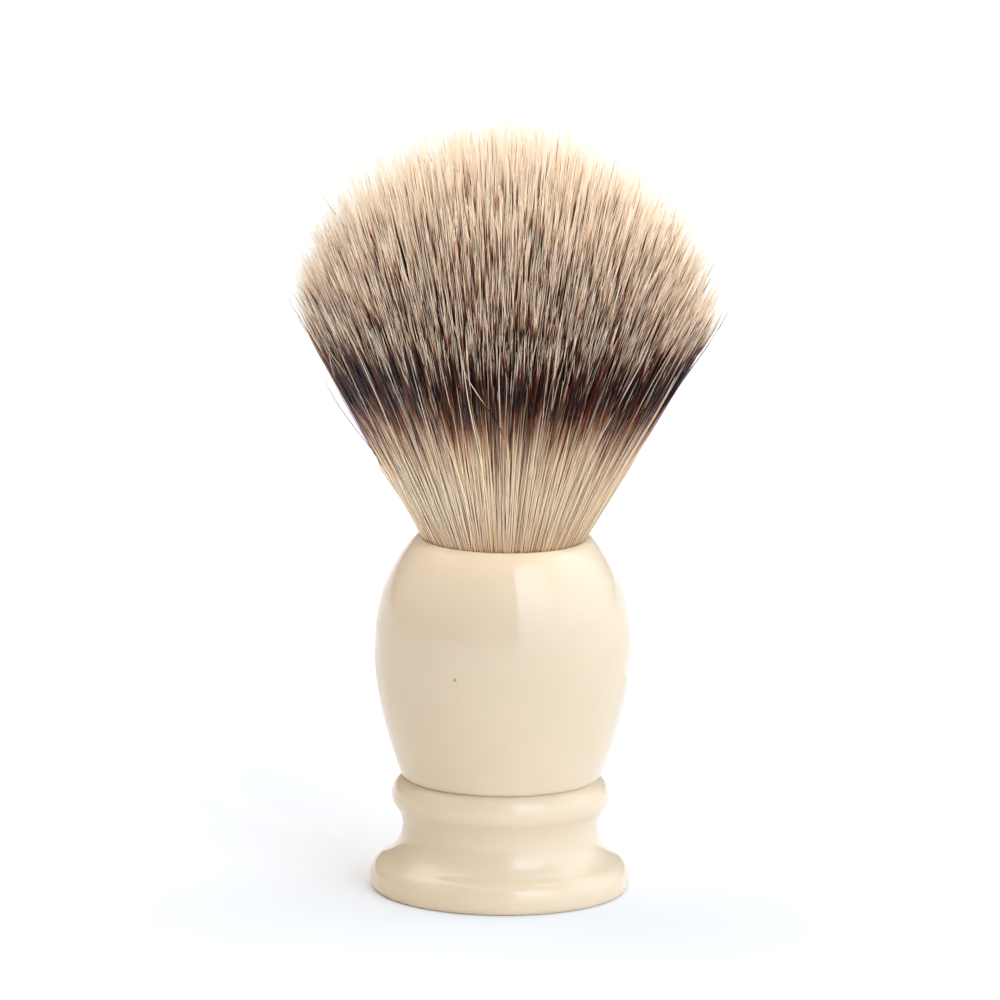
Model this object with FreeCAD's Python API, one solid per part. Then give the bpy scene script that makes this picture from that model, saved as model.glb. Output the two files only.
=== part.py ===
import FreeCAD, Part
import math
import os

# A shaving brush that stands on its foot: a turned resin handle with a glued-in fibre knot.
# Millimetres. +Z runs up the axis of the brush. The origin is the centre of the foot's underside.
# Every piece is turned about Z, so each one is an outline of (radius, height) points.

# Whole brush
KNOT_DIAMETER = 21.0                # outside of the ring that holds the fibres
HANDLE_HEIGHT = 47.3
TOTAL_HEIGHT = 101.5

# Foot, waist and bead: three circles that roll into each other
FOOT_REST_RADIUS = 16.3             # outer edge of the flat that touches the shelf
FOOT_REST_INNER_RADIUS = 12.5
FOOT_DISH_DEPTH = 0.7               # shallow hollow turned into the underside
FOOT_RADIUS = 17.18
FOOT_EDGE_ROUND = 2.8
FOOT_EDGE_HEIGHT = 1.62             # where the foot is widest
WAIST_RADIUS = 12.95
WAIST_HEIGHT = 8.33
BEAD_RADIUS = 14.42
BEAD_HEIGHT = 12.7

# V-groove between the bead and the bulb
GROOVE_RADIUS = 12.75

# Bulb: two smooth curves that meet where it is widest
BULB_START = (13.39, 15.83)
BULB_START_LEAN = 0.355             # radius gained for each millimetre of height
BULB_RADIUS = 17.0
BULB_WIDEST_HEIGHT = 32.3
BULB_END = (12.62, 46.08)
BULB_END_LEAN = -0.743
BULB_FULLNESS = 5.4                 # how far the curves hold their direction
BULB_END_FULLNESS = 4.0

# Rim and knot socket
RIM_CREST_RADIUS = 11.1
RIM_ROUND = 0.4
SOCKET_RADIUS = RIM_CREST_RADIUS - RIM_ROUND
SOCKET_FLOOR = 30.5

# Ring, glue, root plug and thread
RING_RADIUS = KNOT_DIAMETER / 2
RING_WALL = 0.5
RING_BELOW_RIM = 2.0                # the ring is hidden this far down in the socket
GLUE_FLOOR = 0.4                    # glue under the ring
GLUE_BELOW_RING_TOP = 0.5
PLUG_HEIGHT = 6.0
THREAD_RADIUS = 0.24
THREAD_TURNS = 5
THREAD_PITCH = 0.55
THREAD_ABOVE_PLUG = 0.9

# Fibres
ROOT_RADIUS = 9.3                   # bundle inside the ring, under the thread
FLARE_RADIUS = 10.8                 # bundle where it leaves the rim
FLARE_SLOPE = 0.555                 # radius gained for each millimetre of height
DOME_RADIUS = 27.0                  # ball that the tips lie on
SHOULDER_ROUND = 4.0                # rounds the corner between the flank and the dome
CORE_SHARE = 0.36                   # each layer's radius as a share of the whole bundle's
MIDDLE_SHARE = 0.70
LAYER_GAP = 0.06

RING_TOP = HANDLE_HEIGHT - RING_BELOW_RIM
RING_BOTTOM = SOCKET_FLOOR + GLUE_FLOOR
PLUG_TOP = RING_BOTTOM + PLUG_HEIGHT
FLARE_START = HANDLE_HEIGHT - (FLARE_RADIUS - ROOT_RADIUS) / FLARE_SLOPE
AXIS = FreeCAD.Vector(0, 0, 1)


def at(radius, height):
    return FreeCAD.Vector(radius, 0, height)


def line(start, end):
    return Part.LineSegment(at(*start), at(*end)).toShape()


def arc(start, middle, end):
    return Part.Arc(at(*start), at(*middle), at(*end)).toShape()


def curve(*poles):
    bezier = Part.BezierCurve()
    bezier.setPoles([at(*pole) for pole in poles])
    return bezier.toShape()


def turned(edges):
    """Spin a closed outline about Z into one solid."""
    face = Part.Face(Part.Wire(edges))
    return face.revolve(FreeCAD.Vector(), AXIS, 360)


def tube(inner_radius, outer_radius, bottom, top):
    corners = [(inner_radius, bottom), (outer_radius, bottom), (outer_radius, top), (inner_radius, top)]
    return turned([line(corners[i], corners[(i + 1) % 4]) for i in range(4)])


def disc(radius, bottom, top):
    return Part.makeCylinder(radius, top - bottom, at(0, bottom))


def on_circle(centre, radius, angle):
    """Point of a circle, with its angle in radians from straight out."""
    return (centre[0] + radius * math.cos(angle), centre[1] + radius * math.sin(angle))


def along(point, lean, rise):
    """Point reached from another by rising at a given lean."""
    return (point[0] + lean * rise, point[1] + rise)


def angle_between(start, end):
    return math.atan2(end[1] - start[1], end[0] - start[0])


def handle_body():
    foot_centre = (FOOT_RADIUS - FOOT_EDGE_ROUND, FOOT_EDGE_HEIGHT)

    # The waist's hollow circle touches the foot's round edge from outside.
    reach = foot_centre[0] - WAIST_RADIUS
    rise = WAIST_HEIGHT - FOOT_EDGE_HEIGHT
    waist_round = (reach ** 2 + rise ** 2 - FOOT_EDGE_ROUND ** 2) / (2 * (reach + FOOT_EDGE_ROUND))
    waist_centre = (WAIST_RADIUS + waist_round, WAIST_HEIGHT)

    # The bead's circle touches the waist's circle from the other side.
    reach = waist_centre[0] - BEAD_RADIUS
    rise = BEAD_HEIGHT - WAIST_HEIGHT
    bead_round = (reach ** 2 + rise ** 2 - waist_round ** 2) / (2 * (waist_round - reach))
    bead_centre = (BEAD_RADIUS - bead_round, BEAD_HEIGHT)

    foot_to_waist = angle_between(foot_centre, waist_centre)
    waist_to_bead = angle_between(waist_centre, bead_centre)
    groove_angle = math.acos((GROOVE_RADIUS - bead_centre[0]) / bead_round)
    foot_top = on_circle(foot_centre, FOOT_EDGE_ROUND, foot_to_waist)
    bead_start = on_circle(waist_centre, waist_round, waist_to_bead)
    groove = on_circle(bead_centre, bead_round, groove_angle)

    dish = curve((0, FOOT_DISH_DEPTH), (FOOT_REST_INNER_RADIUS / 2, FOOT_DISH_DEPTH),
                 (FOOT_REST_INNER_RADIUS, 0))
    rest = line((FOOT_REST_INNER_RADIUS, 0), (FOOT_REST_RADIUS, 0))
    lower_edge = curve((FOOT_REST_RADIUS, 0), (FOOT_RADIUS, 0), (FOOT_RADIUS, FOOT_EDGE_HEIGHT))
    upper_edge = arc((FOOT_RADIUS, FOOT_EDGE_HEIGHT),
                     on_circle(foot_centre, FOOT_EDGE_ROUND, foot_to_waist / 2), foot_top)
    waist = arc(foot_top, (WAIST_RADIUS, WAIST_HEIGHT), bead_start)
    bead = arc(bead_start, (BEAD_RADIUS, BEAD_HEIGHT), groove)
    groove_lip = curve(groove, along(BULB_START, BULB_START_LEAN, groove[1] - BULB_START[1]), BULB_START)
    widest = (BULB_RADIUS, BULB_WIDEST_HEIGHT)
    lower_bulb = curve(BULB_START, along(BULB_START, BULB_START_LEAN, BULB_FULLNESS),
                       along(widest, 0, -BULB_FULLNESS), widest)
    upper_bulb = curve(widest, along(widest, 0, BULB_FULLNESS),
                       along(BULB_END, BULB_END_LEAN, -BULB_END_FULLNESS), BULB_END)
    crest = (RIM_CREST_RADIUS, HANDLE_HEIGHT)
    shoulder = curve(BULB_END, along(BULB_END, BULB_END_LEAN, HANDLE_HEIGHT - BULB_END[1]), crest)
    rim = curve(crest, (SOCKET_RADIUS, HANDLE_HEIGHT), (SOCKET_RADIUS, HANDLE_HEIGHT - RIM_ROUND))
    socket_wall = line((SOCKET_RADIUS, HANDLE_HEIGHT - RIM_ROUND), (SOCKET_RADIUS, SOCKET_FLOOR))
    socket_floor = line((SOCKET_RADIUS, SOCKET_FLOOR), (0, SOCKET_FLOOR))
    centre = line((0, SOCKET_FLOOR), (0, FOOT_DISH_DEPTH))
    return turned([dish, rest, lower_edge, upper_edge, waist, bead, groove_lip, lower_bulb,
                   upper_bulb, shoulder, rim, socket_wall, socket_floor, centre])


def socket_adhesive():
    """A cup of cured glue between the ring and the socket."""
    outside = disc(SOCKET_RADIUS, SOCKET_FLOOR, RING_TOP - GLUE_BELOW_RING_TOP)
    return outside.cut(disc(RING_RADIUS, RING_BOTTOM, RING_TOP))


def knot_ring():
    return tube(RING_RADIUS - RING_WALL, RING_RADIUS, RING_BOTTOM, RING_TOP)


def root_plug():
    """The block of cast resin that holds the fibres' root ends."""
    return disc(RING_RADIUS - RING_WALL, RING_BOTTOM, PLUG_TOP)


def binding_thread():
    """Turns of thread wound round the bundle, just above the plug."""
    winding_radius = ROOT_RADIUS + THREAD_RADIUS
    helix = Part.makeHelix(THREAD_PITCH, THREAD_PITCH * THREAD_TURNS, winding_radius)
    section = Part.Wire(Part.makeCircle(THREAD_RADIUS, at(winding_radius, 0), FreeCAD.Vector(0, 1, 0)))
    thread = Part.Wire(helix.Edges).makePipeShell([section], True, True)
    thread.translate(at(0, PLUG_TOP + THREAD_ABOVE_PLUG))
    return thread


def layer_form(share, gap):
    """Everything inside one layer's boundary: a straight root and a flank that flares past the tips."""
    root = ROOT_RADIUS * share + gap
    flare_top = along((root, FLARE_START), FLARE_SLOPE * share, TOTAL_HEIGHT - FLARE_START)
    return turned([
        line((0, PLUG_TOP), (root, PLUG_TOP)),
        line((root, PLUG_TOP), (root, FLARE_START)),
        line((root, FLARE_START), flare_top),
        line(flare_top, (0, TOTAL_HEIGHT)),
        line((0, TOTAL_HEIGHT), (0, PLUG_TOP)),
    ])


def whole_tuft():
    """The flared bundle, cut to a dome by a long round-topped form."""
    dome_centre = TOTAL_HEIGHT - DOME_RADIUS
    form = Part.makeSphere(DOME_RADIUS, at(0, dome_centre)).fuse(disc(DOME_RADIUS, 0, dome_centre))
    tuft = layer_form(1, 0).common(form).removeSplitter()
    widest = max(tuft.Edges, key=lambda edge: edge.BoundBox.XMax if edge.Closed else 0)
    return tuft.makeFillet(SHOULDER_ROUND, [widest])


def tuft_layers():
    tuft = whole_tuft()
    return {
        "tuft_core": tuft.common(layer_form(CORE_SHARE, -LAYER_GAP / 2)),
        "tuft_middle": tuft.common(layer_form(MIDDLE_SHARE, -LAYER_GAP / 2)).cut(
            layer_form(CORE_SHARE, LAYER_GAP / 2)),
        "tuft_outer": tuft.cut(layer_form(MIDDLE_SHARE, LAYER_GAP / 2)),
    }


def main():
    pieces = {
        "handle_body": handle_body(),
        "socket_adhesive": socket_adhesive(),
        "knot_ring": knot_ring(),
        "root_plug": root_plug(),
        "binding_thread": binding_thread(),
    }
    pieces.update(tuft_layers())
    os.makedirs("parts", exist_ok=True)
    for name, shape in pieces.items():
        solids = shape.Solids
        if len(solids) != 1 or not solids[0].isValid():
            raise RuntimeError(f"{name} is not one valid solid")
        solids[0].exportStep(f"parts/{name}.step")
        print(f"{name}: {solids[0].Volume:.0f} mm3")


main()
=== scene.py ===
import math

import bpy
import numpy as np
from mathutils import Matrix, Vector
from mathutils.kdtree import KDTree


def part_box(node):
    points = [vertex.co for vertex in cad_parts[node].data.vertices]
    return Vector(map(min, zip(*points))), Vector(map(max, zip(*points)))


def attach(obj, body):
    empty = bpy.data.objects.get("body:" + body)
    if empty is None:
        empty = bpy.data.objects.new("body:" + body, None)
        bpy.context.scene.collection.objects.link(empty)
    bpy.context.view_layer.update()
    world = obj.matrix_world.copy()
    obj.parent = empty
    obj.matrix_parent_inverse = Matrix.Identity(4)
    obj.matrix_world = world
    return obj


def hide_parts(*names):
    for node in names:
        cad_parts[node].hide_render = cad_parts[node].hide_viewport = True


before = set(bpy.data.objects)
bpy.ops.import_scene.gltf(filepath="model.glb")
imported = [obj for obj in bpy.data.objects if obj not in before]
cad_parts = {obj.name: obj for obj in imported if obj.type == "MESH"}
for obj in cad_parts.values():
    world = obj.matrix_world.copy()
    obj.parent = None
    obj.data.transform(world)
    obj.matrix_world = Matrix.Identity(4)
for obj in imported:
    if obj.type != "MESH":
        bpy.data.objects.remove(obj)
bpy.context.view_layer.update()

# The look of a shaving brush, in metres, in the frame of its CAD model. +Z runs up the brush's axis,
# the camera is on the -Y side, and +X is to its right.
MM = 0.001
RANDOM_SEED = 21

# Heights that the CAD model sets, in metres
rim_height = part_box("handle_body")[1].z
root_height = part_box("root_plug")[1].z
tip_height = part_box("tuft_core")[1].z

# The bundle: a round root that flares in straight lines, as if from one point inside the handle
ROOT_RADIUS = 9.3 * MM
FLARE_SLOPE = 0.570                 # radius gained for each metre of height, on the outermost fibres
FLARE_START = rim_height - 2.75 * MM
BEND_LENGTH = 0.9 * MM              # how softly a fibre turns outwards
FAN_POINT = FLARE_START - ROOT_RADIUS / FLARE_SLOPE

# Layers: name of the CAD node, and the share of the bundle's radius where the layer ends
LAYERS = (("tuft_core", 0.36), ("tuft_middle", 0.70), ("tuft_outer", 1.0))

FIBRE_COUNT = 14400
PIECE_FIBRES = 2900                 # most fibres in one mesh
LOCK_COUNT = 1900                   # small bunches of tips that stick together
TRESS_COUNT = 230                   # bigger bunches of those
SEAT_SHAKE = 0.35                   # unevenness of the seats, as a share of their spacing
NEAR_AXIS = 0.01                    # smallest share of the radius that is divided by

# One fibre: a closed tube that thins towards its tip
FIBRE_RADIUS = 0.070 * MM
THINNEST, THICKEST = 0.65, 1.25     # as shares of that radius
TIP_RADIUS = 0.012 * MM
TAPER_LENGTH = 7 * MM
TAPER_POWER = 0.7
SIDES = 3
RING_STEPS = (0, 0.14, 0.24, 0.36, 0.47, 0.57, 0.67, 0.76, 0.84, 0.91, 0.96, 1.0)   # root 0, tip 1
ACROSS_FIBRES = (0.31, 0.95, 0.0)   # a direction that no fibre runs in

# Dome of tips, in millimetres. A fibre's share is its place from the bundle's axis 0 to its edge 1.
CROWN_LIFT = 2.9                    # how far the dome's own point stands above the CAD dome
CONE_DROP = 8.5                     # steady fall from the axis to the edge
CONE_ROUNDING = 0.012               # blunts the cone's point, as a share squared
EDGE_DROP, EDGE_POWER = 11.5, 2.4   # extra fall near the edge
RIGHT_DROP = 1.4                    # the dome is a little lower on the right
RIGHT_EDGE_LIFT = 3.0               # but its edge is fuller there
LOCK_UNEVEN, TRESS_UNEVEN, FIBRE_UNEVEN = 0.4, 0.45, 0.9
SHORTFALL = 2.3                     # average amount by which a fibre stays short of the dome

# Sideways strays: usual size, how many times more in a wild fibre, the most outwards at the
# bundle's edge, and how much more of that is allowed towards the axis
WILD_SHARE = 0.13
SLANT = (0.034, 2.5, 0.004, 0.06)   # slope
BEND = (0.6, 2.2, 0.15, 1.5)        # millimetres at the tip
WAVE = (0.24, 4.5, 0.12, 1.5)       # millimetres
LEAST_TURN, MOST_TURN = 4, 11       # radians of the wave between the bend and the tip

# How far bunches draw together, as a share of the way to the bunch's middle
LOCK_ROOT_PULL, TRESS_ROOT_PULL = 0.32, 0.10
LOCK_PULL_LEAST, LOCK_PULL_MOST = 0.05, 0.6
TRESS_PULL = 0.25

# The dark band, in millimetres back from the tip along the fibre
BAND_REACH = 18.2                   # from the tip to the band's lower edge
BAND_FRONT_RISE = 6.3               # that edge is higher at the front
TRESS_BAND_UNEVEN, FIBRE_BAND_UNEVEN = 0.6, 1.0
PALE_TIP = 2.2                      # pale end above the band, before what is added and taken off
PALE_TIP_SPREAD = (1.5, 1.5)        # shape and scale of what each fibre adds
PALE_TIP_CROWN = 3.4                # longer at the crown
PALE_TIP_FRONT_CUT = 2.0            # shorter at the front edge
SHORTEST_PALE_TIP = 1.5

# Colours by recipe: each fibre takes one column of the colour map
RECIPES = 128
BAND_START, BAND_END = 0.30, 0.62   # where the dark band lies on the map, from root 0 to tip 1
COLUMN_FILL = 0.8                   # how much of its column's width a fibre uses
COLUMN_MIDDLE = 0.33                # the part of that width that sits on the column's middle


# ---------- fibres ----------

def smooth_ramp(x):
    """Softly bent line: 0 below 0, and x above it."""
    return BEND_LENGTH * np.logaddexp(0, x / BEND_LENGTH)


def scatter_disc(rng, count):
    """Evenly spread points of the unit disc, a little shaken."""
    index = np.arange(count) + 0.5
    radius = np.sqrt(index / count)
    angle = index * math.pi * (3 - math.sqrt(5))
    points = np.stack([radius * np.cos(angle), radius * np.sin(angle)], 1)
    points += rng.normal(0, SEAT_SHAKE / math.sqrt(count), points.shape)
    size = np.linalg.norm(points, axis=1, keepdims=True)
    return points / np.maximum(size, 1)


def join_bunches(rng, seats, count):
    """From each fibre's seat to the middle of the bunch that it belongs to, and the bunch's number."""
    middles = scatter_disc(rng, count)
    tree = KDTree(count)
    for i, (x, y) in enumerate(middles):
        tree.insert((x, y, 0), i)
    tree.balance()
    nearest = np.array([tree.find((x, y, 0))[1] for x, y in seats])
    return middles[nearest] - seats, nearest


def stray(rng, seats, share, wild, size, wild_times, edge_limit, inner_limit):
    """A random push sideways for each fibre, held back where it would leave the bundle."""
    push = rng.normal(0, size, seats.shape)
    push[wild] *= wild_times
    outward = seats / np.maximum(share, NEAR_AXIS)[:, None]
    excess = (push * outward).sum(1) - (edge_limit + (1 - share) * inner_limit)
    return push - np.maximum(excess, 0)[:, None] * outward


def tip_heights(rng, seats, share, lock, tress):
    """Height of each fibre's tip: on a dome that is higher in the middle, or a little short of it."""
    reach = (tip_height - FAN_POINT) / MM + CROWN_LIFT - CONE_DROP * np.sqrt(share ** 2 + CONE_ROUNDING)
    reach -= EDGE_DROP * share ** EDGE_POWER
    reach += RIGHT_EDGE_LIFT * np.maximum(seats[:, 0], 0) * share ** 3 - RIGHT_DROP * seats[:, 0]
    reach += rng.normal(0, LOCK_UNEVEN, LOCK_COUNT)[lock] + rng.normal(0, TRESS_UNEVEN, TRESS_COUNT)[tress]
    reach += rng.normal(0, FIBRE_UNEVEN, FIBRE_COUNT) - rng.exponential(SHORTFALL, FIBRE_COUNT)
    return FAN_POINT + reach * MM / np.sqrt(1 + (FLARE_SLOPE * share) ** 2)


def fibre_paths(rng, seats, share, to_lock, to_tress, rise):
    """Millimetres across for every ring: a straight fan, drawn together in bunches, with strays."""
    wild = rng.random(FIBRE_COUNT) < WILD_SHARE
    lean_xy = seats * FLARE_SLOPE + stray(rng, seats, share, wild, *SLANT)
    root_xy = (seats + LOCK_ROOT_PULL * to_lock + TRESS_ROOT_PULL * to_tress) * ROOT_RADIUS / MM
    xy = root_xy[:, None, :] + lean_xy[:, None, :] * rise[:, :, None]

    along = np.clip(rise / rise[:, -1:], 0, 1)
    spread = (FLARE_SLOPE * rise[:, -1])[:, None, None]
    lock_pull = rng.uniform(LOCK_PULL_LEAST, LOCK_PULL_MOST, (FIBRE_COUNT, 1))
    xy += to_lock[:, None, :] * spread * (lock_pull * along ** 2)[:, :, None]
    xy += to_tress[:, None, :] * spread * (TRESS_PULL * along ** 2)[:, :, None]

    xy += stray(rng, seats, share, wild, *BEND)[:, None, :] * (along ** 2)[:, :, None]
    wave = stray(rng, seats, share, wild, *WAVE)
    turn = rng.uniform(LEAST_TURN, MOST_TURN, (FIBRE_COUNT, 1))
    phase = rng.uniform(0, 2 * math.pi, (FIBRE_COUNT, 1))
    xy += wave[:, None, :] * (np.sin(along * turn + phase) * along)[:, :, None]
    return xy


def dark_band(rng, seats, share, tress, length):
    """Where each fibre's band starts and ends, in metres from the rim along the fibre."""
    facing = -seats[:, 1] / np.maximum(share, NEAR_AXIS) * np.minimum(share * 2, 1)
    front = np.clip(facing, 0, 1)
    uneven = rng.normal(0, TRESS_BAND_UNEVEN, TRESS_COUNT)[tress]
    start = length - (BAND_REACH + uneven + rng.normal(0, FIBRE_BAND_UNEVEN, FIBRE_COUNT)) * MM
    start += BAND_FRONT_RISE * MM * front
    pale_tip = PALE_TIP + rng.gamma(*PALE_TIP_SPREAD, FIBRE_COUNT) - PALE_TIP_FRONT_CUT * front * share ** 2
    pale_tip += PALE_TIP_CROWN * (1 - share ** 2) ** 2
    return start, length - np.maximum(pale_tip, SHORTEST_PALE_TIP) * MM


def make_fibres():
    """Every fibre's share, its points (fibre, ring, xyz), how far each ring is from the tip along
    the fibre, and each ring's place on the colour map's length."""
    rng = np.random.default_rng(RANDOM_SEED)
    seats = scatter_disc(rng, FIBRE_COUNT)
    share = np.linalg.norm(seats, axis=1)
    to_lock, lock = join_bunches(rng, seats, LOCK_COUNT)
    to_tress, tress = join_bunches(rng, seats, TRESS_COUNT)

    top = tip_heights(rng, seats, share, lock, tress)
    height = root_height + np.array(RING_STEPS)[None, :] * (top - root_height)[:, None]
    rise = smooth_ramp(height - FLARE_START) / MM            # millimetres above the bend
    xy = fibre_paths(rng, seats, share, to_lock, to_tress, rise)
    points = np.concatenate([xy * MM, height[:, :, None]], 2)

    from_rim = (height - rim_height) * np.sqrt(1 + (FLARE_SLOPE * share) ** 2)[:, None]
    length = from_rim[:, -1]
    band_start, band_end = dark_band(rng, seats, share, tress, length)
    rows = np.empty_like(from_rim)
    for i in range(FIBRE_COUNT):
        known = [from_rim[i, 0], band_start[i], band_end[i], length[i]]
        rows[i] = np.interp(from_rim[i], known, [0, BAND_START, BAND_END, 1])
    return share, points, length[:, None] - from_rim, rows


def tube_mesh(name, points, rows, columns, radii):
    """One mesh of closed, tapered tubes. Each tube's map coordinates fill one column."""
    count, rings = rows.shape
    direction = points[:, -1] - points[:, 0]
    direction /= np.linalg.norm(direction, axis=1, keepdims=True)
    side = np.cross(direction, np.array(ACROSS_FIBRES))
    side /= np.linalg.norm(side, axis=1, keepdims=True)
    other = np.cross(direction, side)
    angles = (2 * math.pi * np.arange(SIDES) / SIDES)[None, :, None]
    around = side[:, None, :] * np.cos(angles) + other[:, None, :] * np.sin(angles)
    vertices = points[:, :, None, :] + around[:, None, :, :] * radii[:, :, None, None]

    index = np.arange(count * rings * SIDES).reshape(count, rings, SIDES)
    here, beside = index[:, :-1, :], np.roll(index, -1, 2)[:, :-1, :]
    above, above_beside = index[:, 1:, :], np.roll(index, -1, 2)[:, 1:, :]
    quads = np.stack([here, beside, above_beside, above], 3).reshape(-1, 4)
    caps = np.concatenate([index[:, 0, ::-1], index[:, -1, :]])

    mesh = bpy.data.meshes.new(name)
    mesh.vertices.add(vertices.size // 3)
    mesh.vertices.foreach_set("co", vertices.astype(np.float32).ravel())
    corners = np.concatenate([quads.ravel(), caps.ravel()])
    starts = np.concatenate([np.arange(len(quads)) * 4, len(quads) * 4 + np.arange(len(caps)) * SIDES])
    mesh.loops.add(len(corners))
    mesh.loops.foreach_set("vertex_index", corners.astype(np.int32))
    mesh.polygons.add(len(starts))
    mesh.polygons.foreach_set("loop_start", starts.astype(np.int32))
    mesh.polygons.foreach_set("use_smooth", np.zeros(len(starts), bool))
    mesh.update(calc_edges=True)

    across = (np.arange(SIDES) / SIDES - COLUMN_MIDDLE) * COLUMN_FILL / RECIPES
    u = np.broadcast_to(((columns + 0.5) / RECIPES)[:, None, None] + across, (count, rings, SIDES))
    v = np.broadcast_to(rows[:, :, None], (count, rings, SIDES))
    uv = np.stack([u.reshape(-1)[corners], v.reshape(-1)[corners]], 1)
    layer = mesh.uv_layers.new(name="OFBake")
    layer.data.foreach_set("uv", uv.astype(np.float32).ravel())
    piece = bpy.data.objects.new(name, mesh)
    bpy.context.scene.collection.objects.link(piece)
    return piece


def make_tuft():
    """Replace each tuft node with its share of the fibres, in meshes of a moderate size."""
    share, points, to_tip, rows = make_fibres()
    rng = np.random.default_rng(RANDOM_SEED + 1)
    columns = rng.integers(0, RECIPES, FIBRE_COUNT)
    thickness = FIBRE_RADIUS * rng.uniform(THINNEST, THICKEST, FIBRE_COUNT)[:, None]
    taper = np.clip(to_tip / TAPER_LENGTH, 0, 1) ** TAPER_POWER
    radii = TIP_RADIUS + (thickness - TIP_RADIUS) * taper
    material = fibre_material()
    inner = 0.0
    for node, outer in LAYERS:
        members = np.flatnonzero((share > inner) & (share <= outer))
        parts = math.ceil(len(members) / PIECE_FIBRES)
        for i, chosen in enumerate(np.array_split(members, parts)):
            piece = tube_mesh(f"{node}_fibres_{i + 1}", points[chosen], rows[chosen],
                              columns[chosen], radii[chosen])
            piece.data.materials.append(material)
            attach(piece, "root")
            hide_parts(node)
        inner = outer


# ---------- materials ----------

def srgb(r, g, b):
    """A screen colour, 0 to 255, as the linear colour that shaders use."""
    def linear(c):
        c /= 255
        return c / 12.92 if c <= 0.04045 else ((c + 0.055) / 1.055) ** 2.4
    return (linear(r), linear(g), linear(b), 1)


# The first cream is painted shade: a darker cream for the fibres where they go into the handle's rim.
CREAM_RIM_SHADE = srgb(240, 210, 174)
CREAM = srgb(254, 229, 197)
CREAM_LOWER = srgb(255, 236, 207)
CREAM_PALE = srgb(252, 236, 210)
BAND_DARK = srgb(62, 30, 28)
BAND_BLACK = srgb(26, 14, 16)
BAND_RED = srgb(96, 48, 38)
AUBURN = srgb(140, 70, 52)
TAN = srgb(214, 170, 132)

# Colour recipes, as stops on the map's length. Each kind starts at its place on a die from 0 to 1. The first
# stop of each recipe is painted shade: a darker cream at and below the rim.
USUAL = (
    (0.12, CREAM_RIM_SHADE), (0.18, CREAM_LOWER), (BAND_START - 0.05, CREAM), (BAND_START - 0.01, TAN),
    (BAND_START + 0.03, AUBURN), (BAND_START + 0.075, BAND_DARK), (BAND_START + 0.12, BAND_BLACK),
    (BAND_END - 0.05, BAND_DARK), (BAND_END - 0.01, AUBURN), (BAND_END + 0.05, TAN),
    (BAND_END + 0.11, CREAM), (0.95, CREAM_PALE))
REDDISH = (
    (0.0, CREAM_RIM_SHADE), (BAND_START - 0.06, CREAM), (BAND_START, AUBURN), (BAND_START + 0.12, BAND_RED),
    (BAND_END - 0.02, AUBURN), (BAND_END + 0.10, TAN), (0.84, CREAM), (0.95, CREAM_PALE))
PALE = ((0.12, CREAM_RIM_SHADE), (0.2, CREAM_LOWER), (0.6, CREAM_PALE))
SOOTY = (
    (0.0, CREAM_RIM_SHADE), (BAND_START - 0.08, CREAM), (BAND_START, BAND_DARK),
    (BAND_START + 0.08, BAND_BLACK), (0.70, BAND_DARK), (0.80, AUBURN), (0.90, CREAM))
RARER_KINDS = ((0.74, REDDISH), (0.88, PALE), (0.94, SOOTY))
BRIGHTNESS = (0.82, 0.20)           # lowest, and how much a recipe may add
SATURATION = (0.75, 0.45)
UNEVEN_DYE = 0.07                   # how far the dye wanders along the map
DYE_GRAIN = 9.0                     # size of the noise that it follows
COLUMN_SPACING = 7.31               # keeps the noise of neighbouring columns apart

# Polished ivory resin. Noise scales are in cycles for each metre.
RESIN_DARK, RESIN_LIGHT = srgb(223, 201, 171), srgb(228, 206, 177)
PIT_COLOUR = srgb(176, 150, 122)
CLOUD_SCALE, WAVE_SCALE, PIT_SCALE = 60.0, 130.0, 110.0
PIT_SIZE = 0.026                    # as a share of the pits' spacing
WAVE_HEIGHT = 0.1 * MM
WAVE_STRENGTH = 0.3
GLOSSIEST, LEAST_GLOSSY = 0.04, 0.075   # roughness
SCATTER_DEPTH = 2 * MM              # how far light travels under the surface

# Pieces inside the handle: node, material, light and dark colour, noise scale, roughness, metallic
INNER_PIECES = (
    ("socket_adhesive", "glue", srgb(222, 200, 150), srgb(196, 168, 112), 300, 0.25, 0.0),
    ("knot_ring", "ring_metal", srgb(205, 205, 208), srgb(180, 180, 184), 900, 0.35, 1.0),
    ("root_plug", "root_resin", srgb(196, 168, 120), srgb(150, 118, 78), 500, 0.45, 0.0),
    ("binding_thread", "thread", srgb(226, 218, 200), srgb(190, 178, 154), 1500, 0.9, 0.0),
)


def new_material(name):
    material = bpy.data.materials.new(name)
    material.use_nodes = True
    tree = material.node_tree
    return material, tree, tree.nodes["Principled BSDF"]


def add_node(tree, kind, **inputs):
    node = tree.nodes.new(kind)
    for key, value in inputs.items():
        node.inputs[key].default_value = value
    return node


def math_node(tree, operation, first, second=None):
    node = tree.nodes.new("ShaderNodeMath")
    node.operation = operation
    for socket, value in zip(node.inputs, (first, second)):
        if isinstance(value, (int, float)):
            socket.default_value = value
        elif value is not None:
            tree.links.new(value, socket)
    return node.outputs[0]


def spread_value(tree, chance, lowest, added):
    """A value from the lowest upwards, by a chance from 0 to 1."""
    return math_node(tree, "ADD", math_node(tree, "MULTIPLY", chance, added), lowest)


def mix_colour(tree, factor, first, second):
    node = tree.nodes.new("ShaderNodeMix")
    node.data_type = "RGBA"
    for socket, value in ((node.inputs[0], factor), (node.inputs[6], first), (node.inputs[7], second)):
        if isinstance(value, (int, float, tuple)):
            socket.default_value = value
        else:
            tree.links.new(value, socket)
    return node.outputs[2]


def ramp(tree, factor, stops):
    node = tree.nodes.new("ShaderNodeValToRGB")
    elements = node.color_ramp.elements
    while len(elements) < len(stops):
        elements.new(0.5)
    for element, (position, colour) in zip(elements, stops):
        element.position = position
        element.color = colour
    tree.links.new(factor, node.inputs[0])
    return node.outputs[0]


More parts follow.
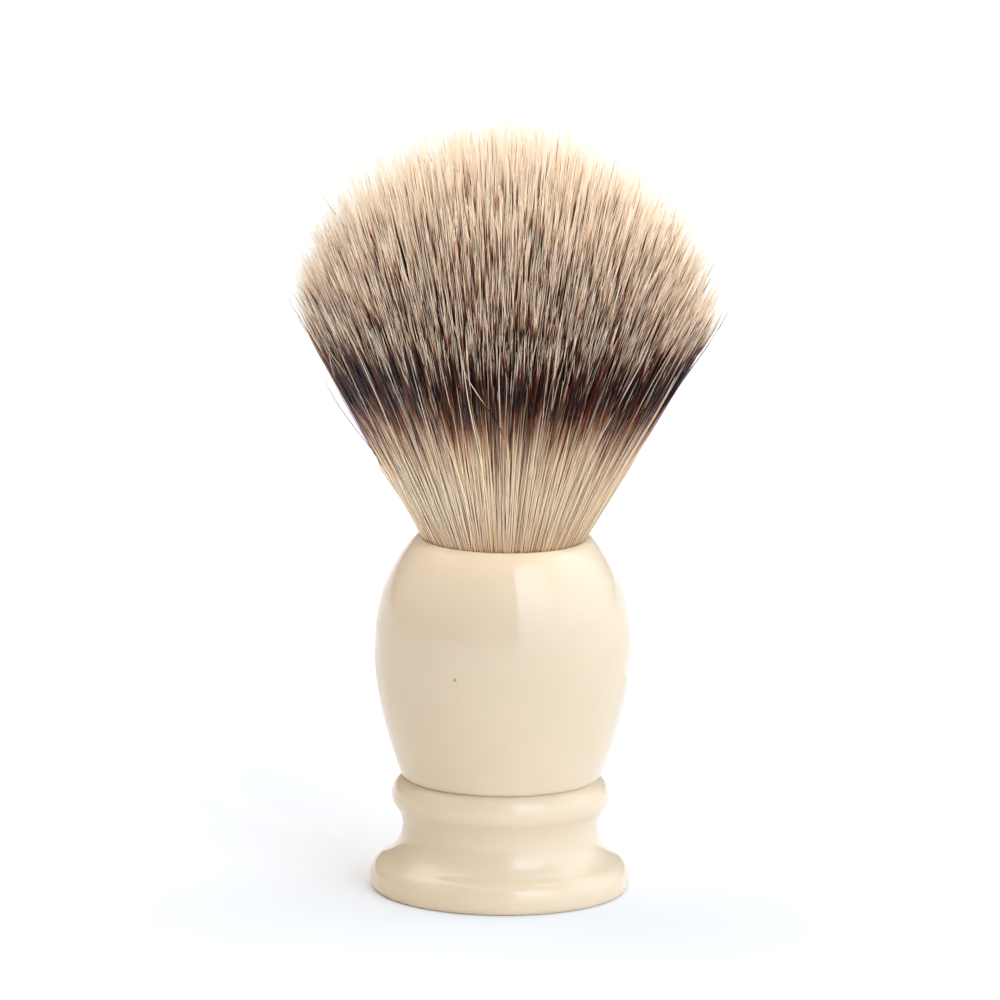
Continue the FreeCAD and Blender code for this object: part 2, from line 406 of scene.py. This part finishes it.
def fibre_material():
    """Cream root with painted shade where it goes into the rim, dark band, pale tip. The map's column picks a
    fibre's own tones.
    """
    material, tree, shader = new_material("brush_fibre")
    place = tree.nodes.new("ShaderNodeUVMap")
    place.uv_map = "OFBake"
    split = tree.nodes.new("ShaderNodeSeparateXYZ")
    tree.links.new(place.outputs[0], split.inputs[0])
    column = math_node(tree, "FLOOR", math_node(tree, "MULTIPLY", split.outputs[0], RECIPES))
    length = split.outputs[1]

    chance = tree.nodes.new("ShaderNodeTexWhiteNoise")
    chance.noise_dimensions = "1D"
    tree.links.new(column, chance.inputs["W"])
    dice = tree.nodes.new("ShaderNodeSeparateColor")
    tree.links.new(chance.outputs["Color"], dice.inputs[0])
    tone, warmth, kind = dice.outputs

    # Uneven dye along the fibre, different in each column
    grain = add_node(tree, "ShaderNodeTexNoise", Scale=DYE_GRAIN, Detail=2.0)
    grain.noise_dimensions = "2D"
    spot = tree.nodes.new("ShaderNodeCombineXYZ")
    tree.links.new(math_node(tree, "MULTIPLY", column, COLUMN_SPACING), spot.inputs[0])
    tree.links.new(length, spot.inputs[1])
    tree.links.new(spot.outputs[0], grain.inputs["Vector"])
    centred = math_node(tree, "SUBTRACT", grain.outputs["Fac"], 0.5)
    along = math_node(tree, "ADD", length, math_node(tree, "MULTIPLY", centred, UNEVEN_DYE))

    colour = ramp(tree, along, USUAL)
    for start, stops in RARER_KINDS:
        is_kind = math_node(tree, "GREATER_THAN", kind, start)
        colour = mix_colour(tree, is_kind, colour, ramp(tree, along, stops))

    vary = tree.nodes.new("ShaderNodeHueSaturation")
    tree.links.new(colour, vary.inputs["Color"])
    tree.links.new(spread_value(tree, tone, *BRIGHTNESS), vary.inputs["Value"])
    tree.links.new(spread_value(tree, warmth, *SATURATION), vary.inputs["Saturation"])
    tree.links.new(vary.outputs[0], shader.inputs["Base Color"])
    shader.inputs["Roughness"].default_value = 0.42
    shader.inputs["IOR"].default_value = 1.5
    shader.inputs["Specular IOR Level"].default_value = 0.45
    return material


def resin_material():
    """Polished ivory resin: faint clouds in the colour, a slightly wavy polish and the odd tiny pit."""
    material, tree, shader = new_material("ivory_resin")
    where = tree.nodes.new("ShaderNodeTexCoord")
    cloud = add_node(tree, "ShaderNodeTexNoise", Scale=CLOUD_SCALE, Detail=3.0, Roughness=0.5)
    pits = add_node(tree, "ShaderNodeTexVoronoi", Scale=PIT_SCALE)
    wave = add_node(tree, "ShaderNodeTexNoise", Scale=WAVE_SCALE, Detail=1.0)
    for pattern in (cloud, pits, wave):
        tree.links.new(where.outputs["Object"], pattern.inputs["Vector"])

    body = ramp(tree, cloud.outputs["Fac"], ((0.35, RESIN_DARK), (0.65, RESIN_LIGHT)))
    pit = math_node(tree, "LESS_THAN", pits.outputs["Distance"], PIT_SIZE)
    tree.links.new(mix_colour(tree, pit, body, PIT_COLOUR), shader.inputs["Base Color"])

    bump = add_node(tree, "ShaderNodeBump", Strength=WAVE_STRENGTH, Distance=WAVE_HEIGHT)
    tree.links.new(math_node(tree, "SUBTRACT", wave.outputs["Fac"], pit), bump.inputs["Height"])
    tree.links.new(bump.outputs[0], shader.inputs["Normal"])
    haze = ramp(tree, cloud.outputs["Fac"], (
        (0.3, (GLOSSIEST, GLOSSIEST, GLOSSIEST, 1)), (0.7, (LEAST_GLOSSY, LEAST_GLOSSY, LEAST_GLOSSY, 1))))
    tree.links.new(haze, shader.inputs["Roughness"])
    shader.inputs["IOR"].default_value = 1.5
    shader.inputs["Subsurface Weight"].default_value = 0.35
    shader.inputs["Subsurface Radius"].default_value = (1.0, 0.72, 0.45)
    shader.inputs["Subsurface Scale"].default_value = SCATTER_DEPTH
    return material


def inner_material(name, light, dark, scale, roughness, metallic):
    """Mottled finish for a piece inside the handle."""
    material, tree, shader = new_material(name)
    where = tree.nodes.new("ShaderNodeTexCoord")
    noise = add_node(tree, "ShaderNodeTexNoise", Scale=scale, Detail=4.0)
    tree.links.new(where.outputs["Object"], noise.inputs["Vector"])
    tree.links.new(ramp(tree, noise.outputs["Fac"], ((0.3, dark), (0.7, light))), shader.inputs["Base Color"])
    shader.inputs["Roughness"].default_value = roughness
    shader.inputs["Metallic"].default_value = metallic
    return material


def dress(node, material):
    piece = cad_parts[node]
    piece.data.materials.clear()
    piece.data.materials.append(material)


# ---------- camera, floor and light ----------

CAMERA_ELEVATION, CAMERA_ROLL = 11.35, -0.75    # degrees
CAMERA_DISTANCE = 1.1834
CAMERA_TARGET = (-0.0006, 0, 0.05216)
FLOOR_HALF_WIDTH = 8.0

# Panels of light, far away: sides and heights, each as where it starts, is full, is still full and
# ends, in degrees, then strength and tint. Azimuth 0 is the camera's side, and it grows to the right.
ALL_ROUND = (-190, -180, 180, 190)
NEUTRAL = (1.0, 1.0, 1.0)
DAYLIGHT = (0.86, 1.02, 1.20)
SKY_PANELS = (
    (ALL_ROUND, (-95, -90, 1.5, 3), 1.0, NEUTRAL),                 # horizon, and all below it
    (ALL_ROUND, (1.5, 3, 90, 95), 0.27, NEUTRAL),                  # dim room
    ((-60, -57, 15, 16), (0, 25, 60, 70), 0.12, NEUTRAL),          # its side behind the camera
    ((15, 16, 62, 68), (-1, 2, 56, 60), 1.2, DAYLIGHT),            # softbox on the right
    ((15, 16, 40, 65), (0, 40, 56, 60), 2.2, DAYLIGHT),            # and its hot middle
    ((61, 68, 110, 150), (-4, 14, 34, 60), 1.4, DAYLIGHT),         # lit wall beyond it
    ((-132, -124, -60, -57), (2, 4, 60, 70), 0.32, NEUTRAL),       # reflector on the left
    ((80, 115, 180, 190), (34, 50, 80, 88), 1.5, NEUTRAL),         # overhead light, behind
    ((-190, -180, -120, -70), (34, 50, 80, 88), 2.1, NEUTRAL),     # and to the left
    (ALL_ROUND, (60, 70, 90, 95), 0.8, NEUTRAL),                   # ceiling
)

# Spots: name, azimuth and elevation in degrees, height and radius of what they cover, and strength,
# where 1 would light a white surface that faces the lamp to pure white
SPOTS = (
    ("tuft_light_right", 28, 34, 87 * MM, 41 * MM, 0.58),
    ("tuft_light_left", -34, 44, 87 * MM, 41 * MM, 0.43),
    ("tuft_light_top", 8, 52, 94 * MM, 30 * MM, 0.30),
    ("foot_light", 0, 14, 3 * MM, 21 * MM, 0.12),
)
SPOT_DISTANCE = 1.2
SPOT_LAMP_RADIUS = 12 * MM
SPOT_SOFT_EDGE = 0.35


def make_camera():
    """A long lens, a little above the brush, rolled slightly so that the brush leans to the right."""
    elevation, roll = math.radians(CAMERA_ELEVATION), math.radians(CAMERA_ROLL)
    forward = Vector((0, math.cos(elevation), -math.sin(elevation)))
    right, up = Vector((1, 0, 0)), Vector((0, math.sin(elevation), math.cos(elevation)))
    rolled_right = right * math.cos(roll) - up * math.sin(roll)
    rolled_up = up * math.cos(roll) + right * math.sin(roll)
    camera = bpy.data.objects.new("camera", bpy.data.cameras.new("camera"))
    bpy.context.scene.collection.objects.link(camera)
    place = Matrix.Translation(Vector(CAMERA_TARGET) - forward * CAMERA_DISTANCE)
    camera.matrix_world = place @ Matrix((rolled_right, rolled_up, -forward)).transposed().to_4x4()
    camera.data.sensor_width = 36
    camera.data.lens = 324
    camera.data.clip_start, camera.data.clip_end = 0.05, 50
    bpy.context.scene.camera = camera


def make_floor():
    mesh = bpy.data.meshes.new("floor")
    w = FLOOR_HALF_WIDTH
    mesh.from_pydata([(-w, -w, 0), (w, -w, 0), (w, w, 0), (-w, w, 0)], [], [(0, 1, 2, 3)])
    floor = bpy.data.objects.new("floor", mesh)
    bpy.context.scene.collection.objects.link(floor)
    material, _, shader = new_material("white_floor")
    shader.inputs["Base Color"].default_value = (0.83, 0.83, 0.835, 1)
    shader.inputs["Roughness"].default_value = 0.9
    shader.inputs["Specular IOR Level"].default_value = 0.0
    shader.inputs["Emission Color"].default_value = (1, 1, 1, 1)
    shader.inputs["Emission Strength"].default_value = 0.04
    mesh.materials.append(material)


def make_spot(name, azimuth, elevation, height, radius, strength):
    """A small soft-edged spot that covers one part of the brush and isn't mirrored in the gloss."""
    a, e = math.radians(azimuth), math.radians(elevation)
    away = Vector((math.sin(a) * math.cos(e), -math.cos(a) * math.cos(e), math.sin(e)))
    lamp = bpy.data.lights.new(name, "SPOT")
    lamp.spot_size = 2 * math.atan(radius / SPOT_DISTANCE)
    lamp.spot_blend = SPOT_SOFT_EDGE
    lamp.shadow_soft_size = SPOT_LAMP_RADIUS
    lamp.energy = strength * 4 * math.pi ** 2 * SPOT_DISTANCE ** 2
    light = bpy.data.objects.new(name, lamp)
    light.visible_glossy = False
    bpy.context.scene.collection.objects.link(light)
    turn = away.to_track_quat("Z", "Y").to_matrix().to_4x4()
    light.matrix_world = Matrix.Translation(Vector((0, 0, height)) + away * SPOT_DISTANCE) @ turn


def soft_step(tree, value, start, end):
    """0 below the start, 1 above the end, both in degrees, of a value in radians."""
    limits = {"From Min": math.radians(start), "From Max": math.radians(end)}
    node = add_node(tree, "ShaderNodeMapRange", **limits)
    node.interpolation_type = "SMOOTHSTEP"
    tree.links.new(value, node.inputs["Value"])
    return node.outputs[0]


def soft_window(tree, value, start, full, still_full, end):
    falling = math_node(tree, "SUBTRACT", 1.0, soft_step(tree, value, still_full, end))
    return math_node(tree, "MULTIPLY", soft_step(tree, value, start, full), falling)


def make_world():
    """A white studio: pale to the horizon, with panels of light above it."""
    world = bpy.data.worlds.new("studio")
    bpy.context.scene.world = world
    world.use_nodes = True
    tree = world.node_tree
    direction = tree.nodes.new("ShaderNodeTexCoord")
    split = tree.nodes.new("ShaderNodeSeparateXYZ")
    tree.links.new(direction.outputs["Generated"], split.inputs[0])
    x, y, z = split.outputs
    azimuth = math_node(tree, "ARCTAN2", x, math_node(tree, "MULTIPLY", y, -1.0))
    elevation = math_node(tree, "ARCSINE", z)
    light = None
    for sides, heights, strength, tint in SKY_PANELS:
        inside = math_node(tree, "MULTIPLY", soft_window(tree, azimuth, *sides),
                           soft_window(tree, elevation, *heights))
        panel = tree.nodes.new("ShaderNodeVectorMath")
        panel.operation = "SCALE"
        panel.inputs[0].default_value = tint
        tree.links.new(math_node(tree, "MULTIPLY", inside, strength), panel.inputs["Scale"])
        if light is None:
            light = panel.outputs[0]
        else:
            total = tree.nodes.new("ShaderNodeVectorMath")
            tree.links.new(light, total.inputs[0])
            tree.links.new(panel.outputs[0], total.inputs[1])
            light = total.outputs[0]
    tree.links.new(light, tree.nodes["Background"].inputs["Color"])


def main():
    bpy.context.scene.view_settings.view_transform = "Standard"
    make_camera()
    make_floor()
    make_world()
    for spot in SPOTS:
        make_spot(*spot)
    dress("handle_body", resin_material())
    for node, *finish in INNER_PIECES:
        dress(node, inner_material(*finish))
    make_tuft()


main()
